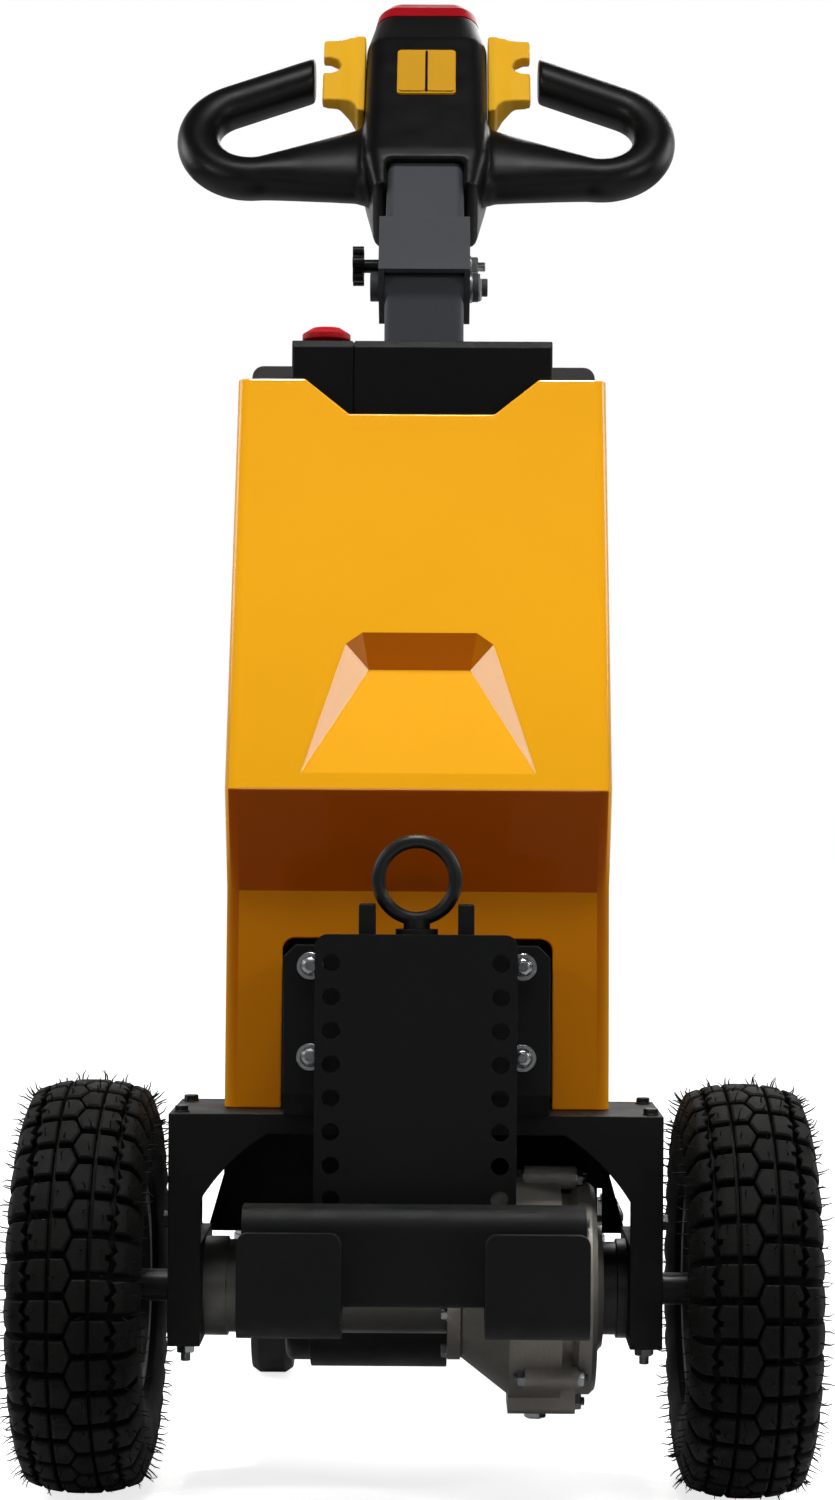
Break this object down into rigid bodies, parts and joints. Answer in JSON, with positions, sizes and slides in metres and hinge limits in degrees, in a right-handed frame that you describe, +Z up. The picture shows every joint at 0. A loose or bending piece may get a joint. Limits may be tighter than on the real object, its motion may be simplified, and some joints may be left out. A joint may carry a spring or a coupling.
{
  "type": "pedestrian electric tow tractor",
  "caption": "Walk-behind electric tug: driven knobby tyres under a portal frame, folded sheet cover, tilting tiller with loop grips, drop-pin hitch with hook yoke, swivel casters behind.",
  "frame": {"origin": "floor level under the middle of the machine's box, where the tyres and casters stand", "axes": "+Z up, -Y towards the hitch, +Y towards the operator, +X to the right seen from the hitch"},
  "size_m": [0.608, 0.8174, 1.3052],
  "materials": {
    "yellow_paint": "satin powder coat",
    "dark_paint": "satin powder coat",
    "grey_paint": "satin powder coat",
    "cast": "as cast",
    "steel": "bright zinc",
    "motor_black": "satin",
    "tyre": "matt",
    "rim": "silver paint",
    "caster_tread": "matt",
    "black_plastic": "fine grain",
    "grip": "soft matt",
    "yellow_plastic": "semi-gloss",
    "red_plastic": "semi-gloss",
    "battery_case": "matt"
  },
  "bodies": {
    "chassis": {"portal_frame": "dark_paint", "rear_deck": "dark_paint", "gear_case": "cast", "gear_cover": "cast", "axle_tube_left": "steel", "axle_tube_right": "dark_paint", "motor": "motor_black", "battery": "battery_case", "caster_plate_right": "steel", "caster_plate_left": "steel", "body_cover": "yellow_paint", "dashboard": "black_plastic", "stop_button": "red_plastic", "rear_panel": "grey_paint", "mast": "grey_paint", "hitch_bracket": "dark_paint", "adapter_plate": "dark_paint", "hook_yoke": "dark_paint"},
    "wheel_right": {"tyre_right": "tyre", "rim_right": "rim", "half_shaft_right": "steel"},
    "wheel_left": {"tyre_left": "tyre", "rim_left": "rim", "half_shaft_left": "steel"},
    "caster_right": {"caster_fork_right": "steel", "caster_axle_right": "steel"},
    "caster_left": {"caster_fork_left": "steel", "caster_axle_left": "steel"},
    "caster_roller_right": {"caster_wheel_right": "caster_tread"},
    "caster_roller_left": {"caster_wheel_left": "caster_tread"},
    "tiller": {"tiller_arm": "grey_paint", "pivot_bolt": "steel", "star_knob": "black_plastic", "tiller_head": "black_plastic", "grip_right": "grip", "grip_left": "grip", "throttle_right": "yellow_plastic", "throttle_left": "yellow_plastic", "rocker_panel": "yellow_plastic", "belly_button": "red_plastic"},
    "pin": {"hitch_pin": "dark_paint"}
  },
  "joints": [
    {"name": "wheel_right_spin", "type": "hinge", "parent": "chassis", "child": "wheel_right", "pos_m": [0.254, -0.16875, 0.16], "axis": [1, 0, 0], "continuous": true},
    {"name": "wheel_left_spin", "type": "hinge", "parent": "chassis", "child": "wheel_left", "pos_m": [-0.254, -0.16875, 0.16], "axis": [1, 0, 0], "continuous": true},
    {"name": "caster_right_swivel", "type": "hinge", "parent": "chassis", "child": "caster_right", "pos_m": [0.138, 0.30825, 0.14], "axis": [0, 0, 1], "continuous": true},
    {"name": "caster_right_roll", "type": "hinge", "parent": "caster_right", "child": "caster_roller_right", "pos_m": [0.138, 0.34625, 0.0625], "axis": [1, 0, 0], "continuous": true},
    {"name": "caster_left_swivel", "type": "hinge", "parent": "chassis", "child": "caster_left", "pos_m": [-0.138, 0.30825, 0.14], "axis": [0, 0, 1], "continuous": true},
    {"name": "caster_left_roll", "type": "hinge", "parent": "caster_left", "child": "caster_roller_left", "pos_m": [-0.138, 0.34625, 0.0625], "axis": [1, 0, 0], "continuous": true},
    {"name": "tiller_tilt", "type": "hinge", "parent": "chassis", "child": "tiller", "pos_m": [0, 0.16525, 1], "axis": [-1, 0, 0], "range_deg": [-30, 40]},
    {"name": "pin_lift", "type": "slide", "parent": "chassis", "child": "pin", "axis": [0, 0, 1], "range_m": [0, 0.1]}
  ]
}
